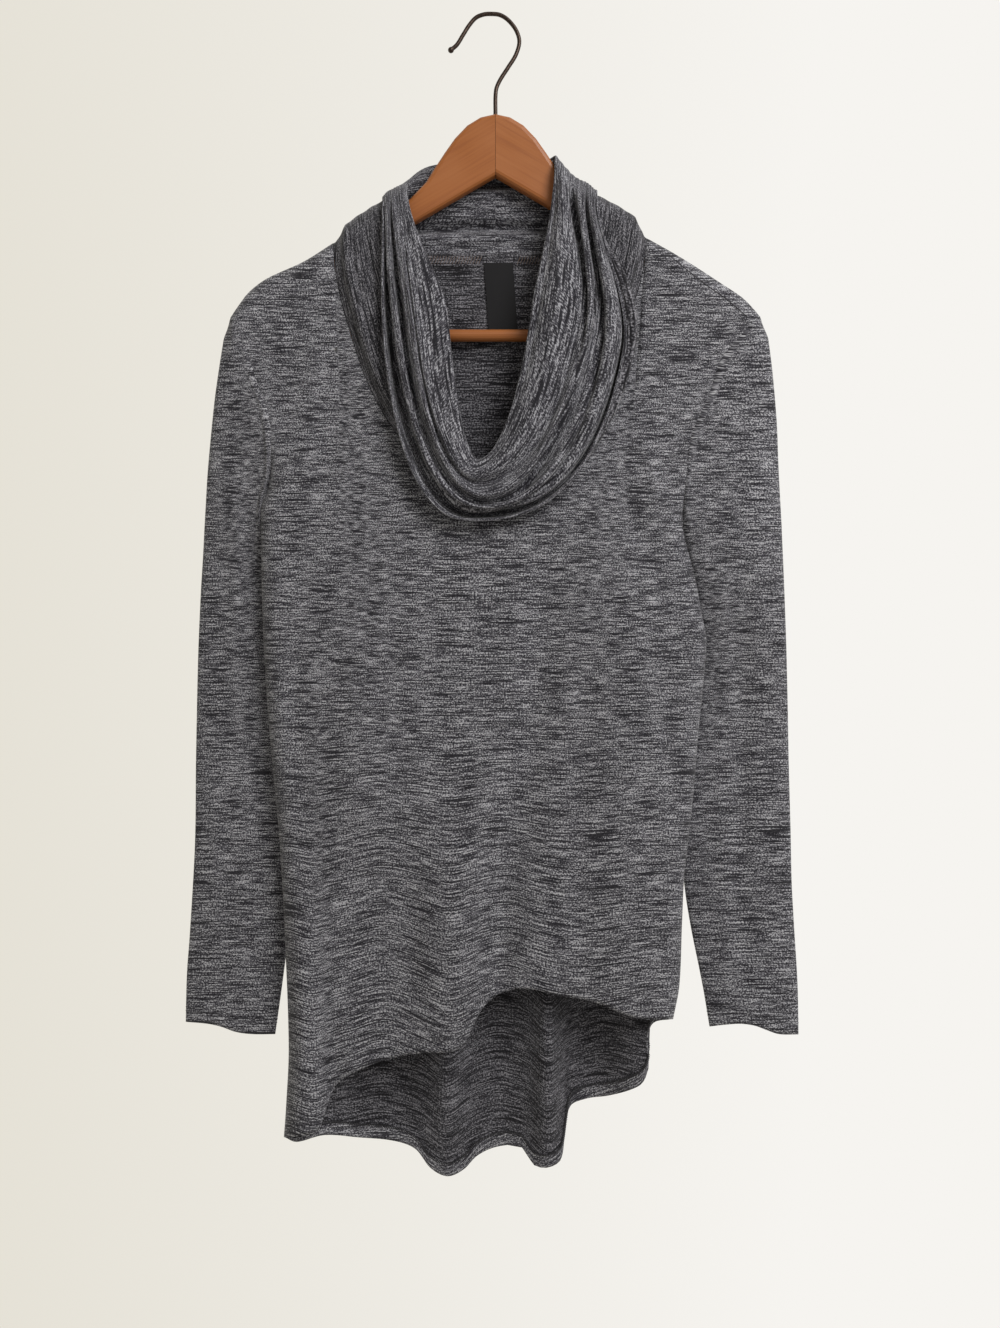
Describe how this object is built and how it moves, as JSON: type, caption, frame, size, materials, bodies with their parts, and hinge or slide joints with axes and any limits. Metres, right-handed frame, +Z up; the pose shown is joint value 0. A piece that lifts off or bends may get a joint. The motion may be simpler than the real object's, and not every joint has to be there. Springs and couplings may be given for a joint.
{
  "type": "cowl neck tunic on a hanger",
  "caption": "Long-sleeved cowl neck tunic of marled grey knit with an asymmetric hem, hanging flat on a wooden hanger.",
  "frame": {"origin": "inside top of the hanger's hook, where a rail or nail carries it", "axes": "+Z up, the front faces -Y, +X is the viewer's right"},
  "size_m": [0.5417, 0.0674, 1.0227],
  "materials": {
    "knit": "marled stretch jersey, matt",
    "label": "woven satin label, bare",
    "wood": "stained and satin lacquered",
    "hook": "dark bronze plating, satin"
  },
  "bodies": {
    "root": {"front": "knit", "back": "knit", "sleeve_left": "knit", "sleeve_right": "knit", "cowl": "knit", "label": "label", "hanger_left": "wood", "hanger_right": "wood", "hanger_bar": "wood", "hanger_hook": "hook"}
  },
  "joints": []
}
